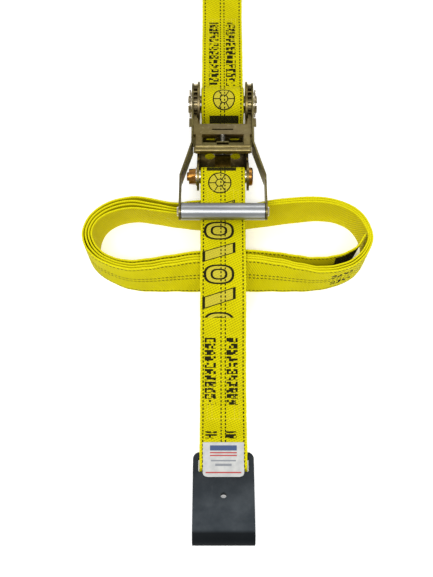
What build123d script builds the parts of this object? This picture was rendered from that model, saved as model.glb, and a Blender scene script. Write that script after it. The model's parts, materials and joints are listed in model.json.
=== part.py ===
from build123d import *
import os
from math import cos, radians, sin

# Two inch ratchet tie-down lying on a table: a ratchet with a wide handle, a short strap with its
# flat hook towards -Y, the main strap with its flat hook towards +Y, and the spare webbing wound
# into a hank that stands on its edge. Millimetres, +Z up, the table at z = 0.

os.makedirs("parts", exist_ok=True)

# ---------------------------------------------------------------- driving dimensions
webbing_width = 50.8
webbing_thick = 2.6
gap = 0.3  # air between bodies that pass each other
running = 0.06  # radial clearance of a shaft in its bore

strap_x = -5.0  # centre line of the straps and the ratchet
mandrel_y = 119.0
mandrel_z = 30.0
tilt = 12.0  # degrees that the ratchet's bolt end is propped up

mandrel_r = 10.5
mandrel_slot = 3.0
mandrel_turn = 43.0  # degrees from the frame's length to the slot
mandrel_end = 40.8
washer_x, washer_thick, washer_r = 36.45, 1.0, 15.5
pin_x, pin_r = 38.7, 1.1  # split pins

frame_in = 27.0
frame_thick = 2.4
frame_head_r = 27.0
frame_tail_r = 16.0
frame_top = 0.8
web_low = -17.4
web_start, web_end = 46.0, 98.0
lug_u = 85.0  # lug that the frame pawl's spring pushes on
anchor_u, anchor_w = 112.0, -5.5

tooth_count = 24
tooth_root_r, tooth_tip_r = 20.0, 24.0
sprocket_in, sprocket_out = 29.7, 33.8
tooth_gap_angle = 13.94

pawl_thick = 2.6
pawl_tip = 20.3  # where both pawls' prongs end, along the frame
pawl_travel = 5.5
prong_in, prong_out = 30.1, 33.5
lock_start = 34.0  # the frame pawl's plate begins here behind its prongs
slide_start = 39.5  # and the release slide's here
handle_pawl_w = 5.3
frame_pawl_w = -6.1
frame_ears = (36.0, 44.0)  # ears that ride in the cheeks' slots
handle_ears = (30.0, 42.0)  # ears that ride in the handle arms' slots
slot_play = 0.4
frame_plate_end = 62.0
window_start, window_end = 56.5, 74.0  # window of the release slide

handle_in = 34.1
handle_thick = 2.1
handle_head_r = 25.4
handle_web_w, handle_web_thick = 1.3, 2.2
tab_u, tab_thick = 71.0, 2.0  # tab that the handle pawl's spring pushes on
flare_start, flare_end = 74.0, 124.0
flare_out = 12.5
grip_u, grip_w = 171.0, 2.0
grip_r = 9.5
grip_half = 46.2
grip_bore_r = 7.9
rod_r = 4.0

sleeve_r = 8.0
bolt_r = 5.0
nut_across = 17.0
nut_thick = 7.8
anchor_washer_r, anchor_washer_thick = 10.5, 1.2
head_r = 10.4
head_thick = 4.6

roll_r = 15.0
main_wrap_r = roll_r + gap + webbing_thick / 2
tail_wrap_r = main_wrap_r + webbing_thick + gap / 2
tail_z = webbing_thick / 2 + 0.1  # middle of the tail where it lies on the table
tail_flat_y = mandrel_y - 74.0  # where the tail starts to turn on edge
hank_height = 49.5
hank_lean = 7.5

hook_width = 63.5
hook_thick = 5.5
hook_tilt = 12.35
hook_plate = 83.6
hook_bend_r = 8.5
hook_bend = 170.0
hook_lip = 16.0
hook_bar = 3.75  # half the width of the bar that the strap goes round
hook_slot_end = 19.5
hook_slot_half = 26.2
hook_hole_r = 3.25
hook_hole_at = 46.0
loop_r = 5.6  # centre line of the strap's fold round the bar
loop_reach = 10.5
hook_bar_z = loop_r + webbing_thick / 2 + gap
lower_bar_y = mandrel_y - 426.0
upper_bar_y = mandrel_y + 188.0

stitch_layer = webbing_thick + gap  # spacing of two sewn layers

# ---------------------------------------------------------------- frame of the ratchet
along = Vector(0, -cos(radians(tilt)), sin(radians(tilt)))  # mandrel towards grip
above = Vector(0, sin(radians(tilt)), cos(radians(tilt)))
mandrel_at = Vector(strap_x, mandrel_y, mandrel_z)


def at(u, w):
    """The point u along the frame and w above it, on the centre line."""
    return mandrel_at + along * u + above * w


def side(x, turn=0.0):
    """Sketch plane facing -X at x from the centre line, its x along the frame, turned about X."""
    x_dir = along * cos(radians(turn)) + above * sin(radians(turn))
    return Plane(origin=mandrel_at + Vector(x, 0, 0), x_dir=x_dir, z_dir=(-1, 0, 0))


def top(w):
    """Sketch plane at height w over the frame, its x along the frame and its y along +X."""
    return Plane(origin=mandrel_at + above * w, x_dir=along, z_dir=above)


def keep(builder, name):
    builder.part.label = name
    export_step(builder.part, f"parts/{name}.step")


frame_out = frame_in + frame_thick
handle_out = handle_in + handle_thick
anchor = at(anchor_u, anchor_w)
grip = at(grip_u, grip_w)
frame_length = Axis(mandrel_at, along)
frame_height = Axis(mandrel_at, above)


# ---------------------------------------------------------------- base frame
def base_frame_piece():
    """One U stamping: two cheeks, the web under the pawl and the lug that the spring pushes on."""
    slot_start = frame_ears[0] - slot_play
    slot_end = frame_ears[1] + pawl_travel + slot_play
    lug_width, lug_height = 18.0, 18.0
    hole_u, hole_x, hole_r = 70.0, 15.0, 6.0
    drain_u, drain_length, drain_width = 56.0, 24.0, 7.0
    bend_r = 2.0
    outline = [
        (0, frame_top),
        (92, frame_top),
        (105, anchor_w + 14),
        (118, anchor_w - 14.5),
        (106, anchor_w - 14.5),
        (98, web_low),
        (40, web_low),
        (10, -25),
    ]
    with BuildPart() as piece:
        for x in (frame_out, -frame_in):
            with BuildSketch(side(x)):
                Circle(frame_head_r)
                with Locations((anchor_u, anchor_w)):
                    Circle(frame_tail_r)
                with BuildLine():
                    Polyline(*outline, close=True)
                make_face()
            extrude(amount=frame_thick)
        with BuildSketch(top(web_low)):
            with Locations(((web_start + web_end) / 2, 0)):
                Rectangle(web_end - web_start, 2 * frame_out)
            with Locations((hole_u, hole_x), (hole_u, -hole_x)):
                Circle(hole_r, mode=Mode.SUBTRACT)
            with Locations((drain_u, 0)):
                SlotOverall(drain_length, drain_width, rotation=90, mode=Mode.SUBTRACT)
        extrude(amount=frame_thick)
        with BuildSketch(top(web_low)):
            with Locations((lug_u, 0)):
                Rectangle(frame_thick, lug_width)
        extrude(amount=lug_height)
        with BuildSketch(side(frame_out)):
            Circle(mandrel_r + running)
            with Locations((anchor_u, anchor_w)):
                Circle(bolt_r)
            with Locations(((slot_start + slot_end) / 2, frame_pawl_w)):
                Rectangle(slot_end - slot_start, pawl_thick + 2 * gap)
        extrude(amount=2 * frame_out, mode=Mode.SUBTRACT)
        for end in (0, -1):
            low_edges = piece.edges().filter_by(frame_length).group_by(frame_height)[0]
            fillet(low_edges.sort_by(Axis.X)[end], bend_r)
    return piece


# ---------------------------------------------------------------- pawls
def pawl_plate(w, plate_start, plate_end, half_width, root_start, root_end):
    """Sliding plate whose two prongs fall between the teeth of both sprockets."""
    root_in = half_width - 2.0
    with BuildSketch(top(w - pawl_thick / 2)) as plate:
        with Locations(((plate_start + plate_end) / 2, 0)):
            Rectangle(plate_end - plate_start, 2 * half_width)
        for sign in (1, -1):
            with Locations(((root_start + root_end) / 2, sign * (root_in + prong_out) / 2)):
                Rectangle(root_end - root_start, prong_out - root_in)
            with Locations(((pawl_tip + root_end) / 2, sign * (prong_in + prong_out) / 2)):
                Rectangle(root_end - pawl_tip, prong_out - prong_in)
    extrude(plate.sketch, amount=pawl_thick)


def spring_peg(u, w, r, length):
    """Peg on a pawl's end, inside its spring."""
    with BuildSketch(Plane(origin=at(u, w), x_dir=(1, 0, 0), z_dir=along)) as peg:
        Circle(r)
    extrude(peg.sketch, amount=length)


def frame_pawl_piece():
    """Locking pawl, held in slots of the cheeks and pushed towards the mandrel by its spring."""
    slot_u, slot_x, slot_length, slot_width = 52.0, 14.0, 12.0, 5.0
    with BuildPart() as piece:
        pawl_plate(frame_pawl_w, lock_start, frame_plate_end, frame_in - gap, *frame_ears)
        tips = piece.edges().filter_by(Axis.X).group_by(frame_length)[0]
        chamfer(tips, 0.6)
        with BuildSketch(top(frame_pawl_w - pawl_thick)):
            with Locations((slot_u, slot_x), (slot_u, -slot_x)):
                SlotOverall(slot_length, slot_width, rotation=90)
        extrude(amount=2 * pawl_thick, mode=Mode.SUBTRACT)
        spring_peg(frame_plate_end, frame_pawl_w, 1.4, 6.0)
    return piece


def handle_pawl_piece():
    """Drive pawl and release slide in one: prongs, ears through the arms, window and finger lip."""
    window_half, leg_half = 24.25, 31.2
    window_middle = (window_start + window_end) / 2
    window_length = window_end - window_start
    ear_half, ear_length = 39.2, handle_ears[1] - handle_ears[0]
    notch_half = 29.0
    slot_u, slot_length, slot_width = 48.5, 25.0, 2.0
    lip_start, lip_end, lip_low = 73.0, 85.2, handle_pawl_w - pawl_thick / 2
    lip_middle, lip_length = (lip_start + lip_end) / 2, lip_end - lip_start
    tip_u, tip_length, tip_half = 80.2, 8.0, 33.3
    ridges, ridge_w, ridge_r = (76.6, 82.2), handle_pawl_w + 1.0, 2.7
    with BuildPart() as piece:
        pawl_plate(handle_pawl_w, slide_start, window_start, handle_in - gap, handle_ears[0], slide_start)
        tips = piece.edges().filter_by(Axis.X).group_by(frame_length)[0]
        chamfer(tips, 0.6)
        with BuildSketch(top(lip_low)):
            with Locations(((handle_ears[0] + handle_ears[1]) / 2, 0)):
                Rectangle(ear_length, 2 * ear_half)
            with Locations((handle_ears[0], 0)):
                Rectangle(2 * (slide_start - handle_ears[0]), 2 * notch_half, mode=Mode.SUBTRACT)
            with Locations((window_middle, 0)):
                Rectangle(window_length + 4, 2 * leg_half)
                Rectangle(window_length, 2 * window_half, mode=Mode.SUBTRACT)
            with Locations((tip_u, 0)):
                Rectangle(tip_length, 2 * tip_half)
        extrude(amount=pawl_thick)
        with BuildSketch(side(leg_half)):
            with Locations((lip_middle, lip_low + pawl_thick / 2)):
                Rectangle(lip_length, pawl_thick)
            with Locations(*[(u, ridge_w) for u in ridges]):
                Circle(ridge_r)
        extrude(amount=2 * leg_half)
        with BuildSketch(top(lip_low - pawl_thick)):
            with Locations((slot_u, 0)):
                SlotOverall(slot_length, slot_width, rotation=90)
        extrude(amount=3 * pawl_thick, mode=Mode.SUBTRACT)
        spring_peg(window_start, handle_pawl_w, 1.2, 5.0)
    return piece


# ---------------------------------------------------------------- coil springs
def spring_piece(start_u, end_u, w, coil_r, wire_r, turns):
    """Compression spring with its axis along the frame."""
    free = end_u - start_u - 2 * wire_r
    with BuildPart() as piece:
        with BuildLine():
            coil = Helix(free / turns, free, coil_r, center=at(start_u + wire_r, w), direction=along)
        with BuildSketch(Plane(origin=coil @ 0, z_dir=coil % 0)):
            Circle(wire_r)
        sweep(path=coil)
    return piece


def frame_pawl_spring_piece():
    seat = lug_u - frame_thick / 2
    return spring_piece(frame_plate_end + 0.2, seat - 0.2, frame_pawl_w, coil_r=3.2, wire_r=0.6, turns=8)


def handle_pawl_spring_piece():
    seat = tab_u - tab_thick / 2
    return spring_piece(window_start + 0.2, seat - 0.2, handle_pawl_w, coil_r=2.6, wire_r=0.5, turns=6)


# ---------------------------------------------------------------- mandrel
def mandrel_half_piece(turn):
    """Half-round shaft; the webbing passes between the flats of the two."""
    with BuildPart() as piece:
        with BuildSketch(side(mandrel_end, turn)):
            Circle(mandrel_r)
            with Locations((0, mandrel_slot / 2 + mandrel_r / 2)):
                Rectangle(2 * mandrel_r, mandrel_r, mode=Mode.INTERSECT)
        extrude(amount=2 * mandrel_end)
        for x in (pin_x, -pin_x):
            with BuildSketch(pin_plane(x)):
                Circle(pin_r)
            extrude(amount=2 * mandrel_r, both=True, mode=Mode.SUBTRACT)
        for end in (0, -1):
            chamfer(piece.faces().sort_by(Axis.X)[end].edges().filter_by(GeomType.CIRCLE), 0.8)
    return piece


def pin_plane(x):
    """Plane square to a split pin, at x, its z along the pin and its x along +X."""
    turn = radians(mandrel_turn)
    across = above * cos(turn) - along * sin(turn)
    return Plane(origin=mandrel_at + Vector(x, 0, 0), x_dir=(1, 0, 0), z_dir=across)


def split_pin_piece(x):
    """Split pin through both half shafts: eye at one end, two spread legs at the other."""
    plane = pin_plane(x)
    reach = mandrel_r + 1.4
    eye_r, eye_wire_r = 2.4, 0.9
    leg_r, leg_length, leg_root, spread = 0.75, 5.0, 1.0, 35.0
    with BuildPart() as piece:
        with BuildSketch(plane):
            Circle(pin_r)
        extrude(amount=reach, both=True)
        eye_at = plane.origin + plane.z_dir * (reach + eye_r)
        with BuildSketch(Plane(origin=eye_at, x_dir=plane.z_dir, z_dir=plane.y_dir)):
            with Locations((-eye_r, 0)):
                Circle(eye_wire_r)
        revolve(axis=Axis(eye_at, plane.x_dir), revolution_arc=360)
        foot = plane.origin - plane.z_dir * (reach - leg_root)
        for sign in (1, -1):
            lean = radians(sign * spread)
            leg = plane.y_dir * sin(lean) - plane.z_dir * cos(lean)
            with BuildSketch(Plane(origin=foot, x_dir=(1, 0, 0), z_dir=leg)):
                Circle(leg_r)
            extrude(amount=leg_length)
    return piece


def washer_piece(x):
    with BuildPart() as piece:
        with BuildSketch(side(x)):
            Circle(washer_r)
            Circle(mandrel_r, mode=Mode.SUBTRACT)
        extrude(amount=washer_thick)
    return piece


def sprocket_piece(x):
    """Toothed wheel fixed on the half shafts, between a frame cheek and a handle arm."""
    middle = (tooth_root_r + tooth_tip_r) / 2
    half_tooth = (tooth_tip_r - tooth_root_r) / 2
    foot = -half_tooth - 0.6
    half_pitch = 180 / tooth_count
    foot_half, tip_half = 1.5, 0.75
    tooth = [(foot, -foot_half), (half_tooth, -tip_half), (half_tooth, tip_half), (foot, foot_half)]
    with BuildPart() as piece:
        with BuildSketch(side(x)):
            Circle(tooth_root_r)
            with PolarLocations(middle, tooth_count, start_angle=tooth_gap_angle + half_pitch):
                Polygon(*tooth, align=None)
            Circle(mandrel_r, mode=Mode.SUBTRACT)
        extrude(amount=sprocket_out - sprocket_in)
    return piece


# ---------------------------------------------------------------- handle
def handle_frame_piece():
    """Handle stamping: two arms that flare out to the grip, joined by a web under the slide."""
    path = [(-30, 0), (flare_start, 0), (flare_end, flare_out), (grip_u + 16, flare_out)]
    outline = [
        (0, 0),
        (8, 24.1),
        (38, 15.5),
        (66, 12.5),
        (124, 11.0),
        (grip_u, grip_w + grip_r),
        (grip_u, grip_w - grip_r),
        (flare_start, -8.0),
        (34, -10.5),
        (10, -23.3),
    ]
    middle = handle_in + handle_thick / 2
    web_start_u, web_end_u = 42.0, 72.5
    opening_u, opening_length, opening_width = 61.5, 10.6, 47.0
    seat_u, seat_length, seat_width = 68.0, 4.0, 8.0  # room for the spring
    tab_width, tab_top = 14.0, 9.0
    slot_start = handle_ears[0] - slot_play
    slot_end = handle_ears[1] + pawl_travel + slot_play
    reach = 60.0  # beyond both arms
    with BuildPart() as piece:
        with BuildSketch(top(0)):
            for sign in (1, -1):
                with BuildLine():
                    Polyline(*[(u, sign * (middle + x)) for u, x in path])
                trace(line_width=handle_thick)
        extrude(amount=30, both=True)
        with BuildSketch(side(reach)):
            Circle(handle_head_r)
            with Locations((grip_u, grip_w)):
                Circle(grip_r)
            with BuildLine():
                Polyline(*outline, close=True)
            make_face()
        extrude(amount=2 * reach, mode=Mode.INTERSECT)
        with BuildSketch(top(handle_web_w)):
            with Locations(((web_start_u + web_end_u) / 2, 0)):
                Rectangle(web_end_u - web_start_u, 2 * handle_in + 1)
            with Locations((opening_u, 0)):
                Rectangle(opening_length, opening_width, mode=Mode.SUBTRACT)
            with Locations((seat_u, 0)):
                Rectangle(seat_length, seat_width, mode=Mode.SUBTRACT)
        extrude(amount=handle_web_thick)
        with BuildSketch(top(handle_web_w)):
            with Locations((tab_u, 0)):
                Rectangle(tab_thick, tab_width)
        extrude(amount=tab_top - handle_web_w)
        with BuildSketch(side(reach)):
            Circle(mandrel_r + running)
            with Locations((grip_u, grip_w)):
                Circle(rod_r)
            with Locations(((slot_start + slot_end) / 2, handle_pawl_w)):
                Rectangle(slot_end - slot_start, pawl_thick + 2 * gap)
        extrude(amount=2 * reach, mode=Mode.SUBTRACT)
    return piece


def grip_rod_piece():
    """Rod through both arms, riveted over at each end."""
    out = handle_out + flare_out
    rivet_r, rivet_height, rivet_taper = 5.6, 1.9, 28
    with BuildPart() as piece:
        with BuildSketch(Plane(origin=grip - Vector(out, 0, 0), x_dir=along, z_dir=(1, 0, 0))):
            Circle(rod_r)
        extrude(amount=2 * out)
        for sign in (1, -1):
            face = Plane(origin=grip + Vector(sign * out, 0, 0), x_dir=along, z_dir=(sign, 0, 0))
            with BuildSketch(face):
                Circle(rivet_r)
            extrude(amount=rivet_height, taper=rivet_taper)
    return piece


def grip_ring(r_out, r_in, x0, x1):
    """Ring on the grip's axis from x0 to x1."""
    with BuildSketch(Plane(origin=grip + Vector(x0, 0, 0), x_dir=along, z_dir=(1, 0, 0))) as ring:
        Circle(r_out)
        Circle(r_in, mode=Mode.SUBTRACT)
    extrude(ring.sketch, amount=x1 - x0)


def grip_tube_piece():
    with BuildPart() as piece:
        grip_ring(grip_r, grip_bore_r, -grip_half, grip_half)
        for end in (0, -1):
            chamfer(piece.faces().sort_by(Axis.X)[end].outer_wire().edges(), 0.6)
    return piece


def grip_bushes_piece():
    """Two bushes in the tube's ends, which turn on the rod."""
    bush_length = 12.0
    with BuildPart() as piece:
        grip_ring(grip_bore_r, rod_r + running, -grip_half, -grip_half + bush_length)
        grip_ring(grip_bore_r, rod_r + running, grip_half - bush_length, grip_half)
    return piece


# ---------------------------------------------------------------- anchor bolt
def round_x(r, x0, x1, r_in=0.0):
    """Cylinder on the anchor bolt's axis from x0 to x1."""
    with BuildSketch(Plane(origin=anchor + Vector(x0, 0, 0), x_dir=along, z_dir=(1, 0, 0))) as disc:
        Circle(r)
        if r_in:
            Circle(r_in, mode=Mode.SUBTRACT)
    extrude(disc.sketch, amount=x1 - x0)


def anchor_bolt_piece():
    thread_past_nut = 2.4
    thread_end = -(frame_out + anchor_washer_thick + nut_thick + thread_past_nut)
    with BuildPart() as piece:
        round_x(bolt_r, thread_end, frame_out)
        chamfer(piece.faces().sort_by(Axis.X)[0].edges(), 0.8)
        round_x(head_r, frame_out, frame_out + head_thick)
        fillet(piece.faces().sort_by(Axis.X)[-1].edges(), 2.2)
    return piece


def anchor_nut_piece():
    inner = -(frame_out + anchor_washer_thick)
    face = Plane(origin=anchor + Vector(inner, 0, 0), x_dir=along, z_dir=(-1, 0, 0))
    with BuildPart() as piece:
        with BuildSketch(face):
            RegularPolygon(nut_across / 2, 6, major_radius=False)
            Circle(bolt_r, mode=Mode.SUBTRACT)
        extrude(amount=nut_thick)
        with BuildSketch(face):
            Circle(nut_across / 2 + 0.9)
        extrude(amount=nut_thick, taper=6, mode=Mode.INTERSECT)
    return piece


def anchor_washer_piece():
    with BuildPart() as piece:
        round_x(anchor_washer_r, -frame_out - anchor_washer_thick, -frame_out, bolt_r)
    return piece


def anchor_sleeve_piece():
    with BuildPart() as piece:
        round_x(sleeve_r, -frame_in + gap, frame_in - gap, bolt_r + running)
    return piece


# ---------------------------------------------------------------- webbing
def wound_webbing_piece():
    """Turns wound on the mandrel, with the layer that passes through its slot."""
    inner_r = mandrel_r + gap
    slot_layer = mandrel_slot - 0.5
    with BuildPart() as piece:
        with BuildSketch(side(webbing_width / 2, mandrel_turn)):
            Circle(roll_r)
            Circle(inner_r, mode=Mode.SUBTRACT)
            Rectangle(2 * inner_r + 1.4, slot_layer)
        extrude(amount=webbing_width)
    return piece


def sewn_loop(bar_y, sign, rise_start, flap):
    """Line of the strap from its run to the bar, round it, and back under itself."""
    high, low = hook_bar_z + loop_r, hook_bar_z - loop_r
    over = low + stitch_layer
    fold_y = bar_y + sign * loop_reach
    start_y = bar_y - sign * rise_start
    top_y = bar_y - sign * 14
    knee = (bar_y - sign * 36, over + 0.7)
    Spline((start_y, over), knee, (top_y, high), tangents=((sign, 0), (sign, 0)))
    Line((top_y, high), (fold_y, high))
    CenterArc((fold_y, hook_bar_z), loop_r, 90, -180 * sign)
    Line((fold_y, low), (fold_y - sign * flap, low))


def main_strap_piece():
    """Main strap: its last turn on the roll, the run along the table and the sewn hook loop."""
    low = mandrel_z - main_wrap_r
    over = hook_bar_z - loop_r + stitch_layer
    rise_start, flap = 50.0, 82.0
    run = [(mandrel_y, low), (mandrel_y + 60, low + 0.3), (mandrel_y + 110, 10.5)]
    with BuildPart() as piece:
        with BuildSketch(Plane.YZ.offset(strap_x)):
            with BuildLine():
                CenterArc((mandrel_y, mandrel_z), main_wrap_r, -90, -300)
                Spline(*run, (upper_bar_y - rise_start, over), tangents=((1, 0), (1, 0)))
                sewn_loop(upper_bar_y, 1, rise_start, flap)
            trace(line_width=webbing_thick)
        extrude(amount=webbing_width / 2, both=True)
    return piece


def tail_strap_piece():
    """Tail: over the top of the roll, down in front of the pawl and along the table."""
    drop_y = mandrel_y - tail_wrap_r
    bend_r = 11.0
    with BuildPart() as piece:
        with BuildSketch(Plane.YZ.offset(strap_x)):
            with BuildLine():
                CenterArc((mandrel_y, mandrel_z), tail_wrap_r, -25, 205)
                Line((drop_y, mandrel_z), (drop_y, tail_z + bend_r))
                CenterArc((drop_y - bend_r, tail_z + bend_r), bend_r, 0, -90)
                Line((drop_y - bend_r, tail_z), (tail_flat_y, tail_z))
            trace(line_width=webbing_thick)
        extrude(amount=webbing_width / 2, both=True)
    return piece


def tail_twist_piece():
    """Tail from flat on the table to upright, turning towards -X to lie along the hank."""
    # place, heading in degrees from -Y towards -X, and how far the outer edge has stood up
    stations = [
        (0.0, -74.5, tail_z, 0, 0),
        (-1.0, -92.0, 7.0, 8, 12),
        (-5.0, -112.0, 18.4, 28, 42),
        (-17.0, -130.0, 24.2, 60, 68),
        (-42.0, -141.9, 25.5, 84, 90 - hank_lean),
    ]
    with BuildPart() as piece:
        for x, y, z, turn, stand in stations:
            t, b = radians(turn), radians(stand)
            heading = Vector(-sin(t), -cos(t), 0)
            outer = Vector(cos(t), -sin(t), 0) * cos(b) + Vector(0, 0, 1) * sin(b)
            origin = Vector(strap_x + x, mandrel_y + y, z)
            with BuildSketch(Plane(origin=origin, x_dir=outer, z_dir=heading)):
                Rectangle(webbing_width, webbing_thick)
        loft()
    return piece


def ring_outline(points, z):
    """Closed smooth outline through points given from the straps' centre line and the mandrel."""
    with BuildSketch(Plane.XY.offset(z)) as outline:
        with BuildLine():
            Spline(*[(strap_x + x, mandrel_y + y) for x, y in points], periodic=True)
        make_face()
    return outline.sketch.faces()[0]


def webbing_hank_piece():
    """Spare webbing in one two-lobed hank on its edge: its outer shape less its pinched opening."""
    outer_floor = [
        (-154, -182), (-141, -150), (-104, -132), (-52, -142), (0, -148), (56, -140),
        (114, -134), (153, -150), (164, -188), (146, -219), (108, -233), (61, -235),
        (2, -235), (-60, -235), (-104, -232), (-142, -211),
    ]
    outer_top = [
        (-157, -184), (-143, -154), (-106, -137), (-52, -148), (0, -152), (56, -140),
        (114, -136), (154, -154), (167, -191), (147, -224), (108, -234), (61, -223),
        (2, -213), (-60, -224), (-104, -230), (-144, -213),
    ]
    inner_floor = [
        (-138, -180), (-128, -156), (-100, -147), (-52, -154), (0, -158), (54, -152),
        (112, -146), (140, -155), (152, -178), (134, -203), (98, -217), (61, -221),
        (2, -222), (-60, -220), (-102, -218), (-128, -204),
    ]
    inner_top = [
        (-144, -184), (-133, -165), (-103, -156), (-52, -162), (0, -160), (56, -150),
        (110, -148), (142, -160), (156, -188), (134, -208), (98, -213), (61, -205),
        (2, -198), (-60, -210), (-103, -216), (-131, -206),
    ]
    with BuildPart() as piece:
        loft([ring_outline(outer_floor, 0), ring_outline(outer_top, hank_height)])
        opening = [ring_outline(inner_floor, 0), ring_outline(inner_top, hank_height)]
        loft(opening, mode=Mode.SUBTRACT)
    return piece


def short_strap_piece():
    """Short strap: looped round the anchor sleeve, over the hank and down to its hook."""
    turn_r = sleeve_r + 0.2 + webbing_thick / 2
    low_end = (anchor.Y, anchor.Z - turn_r)
    high_end = (anchor.Y, anchor.Z + turn_r)
    over = hook_bar_z - loop_r + stitch_layer
    sewn_start, rise_start, flap = 78.0, 50.0, 82.0
    sewn_under = [(-166, 51.1), (-148, 51.8), (-132, 51.2), (-120, 42.5)]
    over_hank = [(-148, 55.5), (-172, 54.3), (-200, 53.0), (-236, 51.4), (-270, 40.0), (-312, 18.0)]
    down = (lower_bar_y + sewn_start, over)
    with BuildPart() as piece:
        with BuildSketch(Plane.YZ.offset(strap_x)):
            with BuildLine():
                under = [(mandrel_y + y, z) for y, z in sewn_under]
                Spline(*under, low_end, tangents=((1, 0.02), (1, 0)))
                CenterArc((anchor.Y, anchor.Z), turn_r, -90, 180)
                run = [(mandrel_y + y, z) for y, z in over_hank]
                Spline(high_end, *run, down, tangents=((-1, 0), (-1, 0)))
                Line(down, (lower_bar_y + rise_start, over))
                sewn_loop(lower_bar_y, -1, rise_start, flap)
            trace(line_width=webbing_thick)
        extrude(amount=webbing_width / 2, both=True)
    return piece


def hook_label_piece():
    """Sewn label over the lower loop."""
    label_thick, label_width = 0.5, 43.0
    r = loop_r + webbing_thick / 2 + 0.05 + label_thick / 2
    fold_y = lower_bar_y - loop_reach
    with BuildPart() as piece:
        with BuildSketch(Plane.YZ.offset(strap_x)):
            with BuildLine():
                Line((lower_bar_y + 13, hook_bar_z + r), (fold_y, hook_bar_z + r))
                CenterArc((fold_y, hook_bar_z), r, 90, 70)
            trace(line_width=label_thick)
        extrude(amount=label_width / 2, both=True)
    return piece


# ---------------------------------------------------------------- flat hooks
def flat_hook_piece(bar_y, sign):
    """Flat hook: bar for the strap's loop, slot, plate, and a lip bent back under it."""
    t = radians(hook_tilt)
    out = Vector(0, sign * cos(t), sin(t))
    up = Vector(0, -sign * sin(t), cos(t))
    bar = Vector(strap_x, bar_y, hook_bar_z)
    section = Plane(origin=bar, x_dir=out, z_dir=(sign, 0, 0))
    plate = Plane(origin=bar, x_dir=out, z_dir=up)
    corner_r, bar_edge_r, slot_corner_r = 8.0, 1.5, 2.0
    reach = hook_plate + 2 * hook_bend_r
    depth = 2 * hook_bend_r + 2 * hook_thick
    with BuildPart() as piece:
        with BuildSketch(section):
            with BuildLine():
                Line((-hook_bar, 0), (hook_plate, 0))
                bend = CenterArc((hook_plate, -hook_bend_r), hook_bend_r, 90, -hook_bend)
                PolarLine(bend @ 1, hook_lip, -hook_bend)
            trace(line_width=hook_thick)
        extrude(amount=hook_width / 2, both=True)
        with BuildSketch(plate.offset(-hook_thick)):
            RectangleRounded(2 * hook_slot_end, 2 * hook_slot_half, slot_corner_r)
            with Locations((hook_hole_at, 0)):
                Circle(hook_hole_r)
        extrude(amount=2 * hook_thick, mode=Mode.SUBTRACT)
        with BuildSketch(section):
            RectangleRounded(2 * hook_bar, hook_thick, bar_edge_r)
        extrude(amount=hook_slot_half + 1, both=True)
        with BuildSketch(plate.offset(-depth)):
            with Locations((reach - hook_bar, 0)):
                RectangleRounded(2 * reach, hook_width, corner_r)
        extrude(amount=depth + hook_thick, mode=Mode.INTERSECT)
    return piece


# ---------------------------------------------------------------- make every piece
keep(base_frame_piece(), "base_frame")
keep(frame_pawl_piece(), "frame_pawl")
keep(frame_pawl_spring_piece(), "frame_pawl_spring")

keep(mandrel_half_piece(mandrel_turn), "mandrel_half_upper")
keep(mandrel_half_piece(mandrel_turn + 180), "mandrel_half_lower")
keep(sprocket_piece(sprocket_out), "sprocket_right")
keep(sprocket_piece(-sprocket_in), "sprocket_left")
keep(washer_piece(washer_x + washer_thick), "mandrel_washer_right")
keep(washer_piece(-washer_x), "mandrel_washer_left")
keep(split_pin_piece(pin_x), "split_pin_right")
keep(split_pin_piece(-pin_x), "split_pin_left")

keep(handle_frame_piece(), "handle_frame")
keep(handle_pawl_piece(), "handle_pawl")
keep(handle_pawl_spring_piece(), "handle_pawl_spring")
keep(grip_rod_piece(), "grip_rod")
keep(grip_tube_piece(), "grip_tube")
keep(grip_bushes_piece(), "grip_bushes")

keep(anchor_bolt_piece(), "anchor_bolt")
keep(anchor_nut_piece(), "anchor_nut")
keep(anchor_washer_piece(), "anchor_washer")
keep(anchor_sleeve_piece(), "anchor_sleeve")

keep(wound_webbing_piece(), "wound_webbing")
keep(main_strap_piece(), "main_strap")
keep(tail_strap_piece(), "tail_strap")
keep(tail_twist_piece(), "tail_twist")
keep(webbing_hank_piece(), "webbing_hank")
keep(short_strap_piece(), "short_strap")
keep(hook_label_piece(), "hook_label")

keep(flat_hook_piece(lower_bar_y, -1), "lower_hook")
keep(flat_hook_piece(upper_bar_y, 1), "upper_hook")
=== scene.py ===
import json
from math import ceil, cos, exp, floor, pi, radians, sin, sqrt

import bpy
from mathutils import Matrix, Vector


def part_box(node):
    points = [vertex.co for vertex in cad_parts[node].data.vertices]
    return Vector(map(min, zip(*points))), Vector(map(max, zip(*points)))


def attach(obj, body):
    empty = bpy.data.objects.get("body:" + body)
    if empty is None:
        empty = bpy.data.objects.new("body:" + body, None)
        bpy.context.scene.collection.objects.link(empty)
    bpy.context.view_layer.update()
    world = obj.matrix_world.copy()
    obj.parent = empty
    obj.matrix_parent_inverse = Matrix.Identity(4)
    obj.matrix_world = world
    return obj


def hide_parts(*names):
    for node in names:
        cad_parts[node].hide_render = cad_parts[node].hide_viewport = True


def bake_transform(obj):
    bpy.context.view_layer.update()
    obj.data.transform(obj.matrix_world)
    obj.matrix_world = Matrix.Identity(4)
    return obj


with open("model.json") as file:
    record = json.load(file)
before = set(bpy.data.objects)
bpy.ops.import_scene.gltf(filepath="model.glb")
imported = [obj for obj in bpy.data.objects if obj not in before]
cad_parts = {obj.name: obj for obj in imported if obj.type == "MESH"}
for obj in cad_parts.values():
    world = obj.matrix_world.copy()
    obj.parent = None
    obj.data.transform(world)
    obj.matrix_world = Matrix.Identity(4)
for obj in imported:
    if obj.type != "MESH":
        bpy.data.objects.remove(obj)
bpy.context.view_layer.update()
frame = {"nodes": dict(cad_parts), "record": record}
nodes = frame["nodes"]
mm = 0.001

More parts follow.
